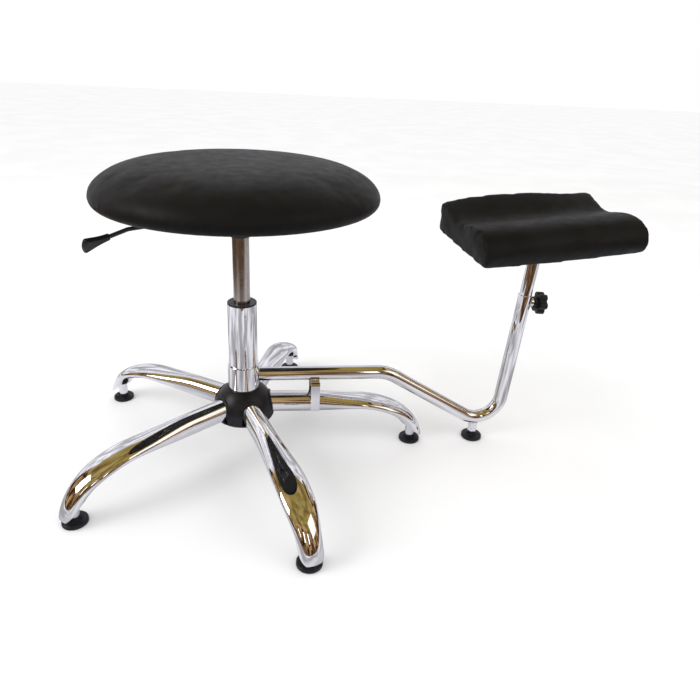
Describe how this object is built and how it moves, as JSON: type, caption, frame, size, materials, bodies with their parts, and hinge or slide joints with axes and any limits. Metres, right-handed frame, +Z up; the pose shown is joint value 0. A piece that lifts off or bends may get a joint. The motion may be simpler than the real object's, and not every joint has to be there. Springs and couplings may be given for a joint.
{
  "type": "dentist stool",
  "caption": "Round-seat swivel stool on a bent-tube leg base with gas lift, and a body-support pad on a side arm.",
  "frame": {"origin": "on the column's axis at floor level", "axes": "+Z up along the column, +X from the column along the side arm, which lies over one leg"},
  "size_m": [0.9579, 0.6462, 0.527],
  "materials": {
    "chromed_steel": "polished",
    "plated_steel": "satin",
    "black_plastic": "fine grain",
    "bearing_plastic": "smooth",
    "black_leatherette": "satin",
    "plywood": "raw",
    "black_paint": "powder coat",
    "stop_rubber": "matte"
  },
  "bodies": {
    "base": {"hub_shell": "black_plastic", "hub_dish": "black_plastic", "hub_core": "plated_steel", "column_tube": "chromed_steel", "guide_bush": "bearing_plastic", "thrust_bearing": "plated_steel", "leg_1": "chromed_steel", "leg_2": "chromed_steel", "leg_3": "chromed_steel", "leg_4": "chromed_steel", "leg_5": "chromed_steel", "glide_socket_1": "chromed_steel", "glide_socket_2": "chromed_steel", "glide_socket_3": "chromed_steel", "glide_socket_4": "chromed_steel", "glide_socket_5": "chromed_steel"},
    "swivel": {"piston_rod": "plated_steel", "piston": "bearing_plastic", "bump_stop": "stop_rubber", "retaining_clip": "plated_steel"},
    "seat": {"gas_cylinder": "chromed_steel", "rod_gland": "plated_steel", "seat_mount": "black_paint", "lever_pivot_pin": "plated_steel", "seat_board": "plywood", "seat_tee_nuts": "plated_steel", "seat_screws": "plated_steel", "seat_cushion": "black_leatherette"},
    "lever": {"lever_rod": "black_paint", "lever_handle": "black_plastic"},
    "release": {"release_pin": "plated_steel"},
    "arm": {"collar": "chromed_steel", "arm_tube": "chromed_steel", "fork_bracket": "chromed_steel", "foot_boss": "chromed_steel", "foot_stem": "plated_steel", "foot_lock_nut": "chromed_steel", "clamp_boss": "chromed_steel"},
    "arm_glide": {"arm_foot": "black_plastic"},
    "clamp": {"clamp_screw": "plated_steel"},
    "knob": {"clamp_knob": "black_plastic"},
    "slider": {"post_bush": "bearing_plastic"},
    "pad": {"post_tube": "chromed_steel", "pad_flange": "black_paint", "pad_board": "plywood", "pad_screws": "plated_steel", "pad_cushion": "black_leatherette"},
    "glide_1": {"glide_stem_1": "plated_steel", "glide_1": "black_plastic"},
    "glide_2": {"glide_stem_2": "plated_steel", "glide_2": "black_plastic"},
    "glide_3": {"glide_stem_3": "plated_steel", "glide_3": "black_plastic"},
    "glide_4": {"glide_stem_4": "plated_steel", "glide_4": "black_plastic"},
    "glide_5": {"glide_stem_5": "plated_steel", "glide_5": "black_plastic"}
  },
  "joints": [
    {"name": "seat_swivel", "type": "hinge", "parent": "base", "child": "swivel", "pos_m": [0, 0, 0.07], "axis": [0, 0, 1], "continuous": true},
    {"name": "seat_height", "type": "slide", "parent": "swivel", "child": "seat", "axis": [0, 0, 1], "range_m": [-0.11, 0]},
    {"name": "lever_lift", "type": "hinge", "parent": "seat", "child": "lever", "pos_m": [-0.03215, -0.02379, 0.4455], "axis": [-0.5948, 0.8039, 0], "range_deg": [0, 4], "stiffness_Nm_per_rad": 6, "springref_deg": -1.15},
    {"name": "valve_press", "type": "slide", "parent": "seat", "child": "release", "axis": [0, 0, -1], "range_m": [0, 0.00285]},
    {"name": "glide_1_swivel", "type": "hinge", "parent": "base", "child": "glide_1", "pos_m": [0.317, 0, 0.01], "axis": [0, 0, 1], "continuous": true},
    {"name": "glide_2_swivel", "type": "hinge", "parent": "base", "child": "glide_2", "pos_m": [0.09796, 0.30149, 0.01], "axis": [0, 0, 1], "continuous": true},
    {"name": "glide_3_swivel", "type": "hinge", "parent": "base", "child": "glide_3", "pos_m": [-0.25646, 0.18633, 0.01], "axis": [0, 0, 1], "continuous": true},
    {"name": "glide_4_swivel", "type": "hinge", "parent": "base", "child": "glide_4", "pos_m": [-0.25646, -0.18633, 0.01], "axis": [0, 0, 1], "continuous": true},
    {"name": "glide_5_swivel", "type": "hinge", "parent": "base", "child": "glide_5", "pos_m": [0.09796, -0.30149, 0.01], "axis": [0, 0, 1], "continuous": true},
    {"name": "arm_lift", "type": "slide", "parent": "base", "child": "arm", "axis": [0, 0, 1], "range_m": [0, 0.06]},
    {"name": "arm_foot_swivel", "type": "hinge", "parent": "arm", "child": "arm_glide", "pos_m": [0.4445, 0, 0.01], "axis": [0, 0, 1], "continuous": true},
    {"name": "knob_turn", "type": "hinge", "parent": "clamp", "child": "knob", "pos_m": [0.50543, 0, 0.28795], "axis": [0.998, 0, -0.0631], "range_deg": [0, 360]},
    {"name": "clamp_travel", "type": "slide", "parent": "arm", "child": "clamp", "axis": [0.998, 0, -0.0631], "range_m": [0, 0.0013]},
    {"name": "pad_height", "type": "slide", "parent": "arm", "child": "slider", "axis": [0.0631, 0, 0.998], "range_m": [-0.07, 0.08]},
    {"name": "pad_swing", "type": "hinge", "parent": "slider", "child": "pad", "pos_m": [0.50063, 0, 0.2121], "axis": [0.0631, 0, 0.998], "continuous": true}
  ],
  "couplings": [
    {"joint": "valve_press", "follows": "lever_lift", "m_per_rad": 0.039968},
    {"joint": "clamp_travel", "follows": "knob_turn", "m_per_rad": 0.00019894}
  ]
}
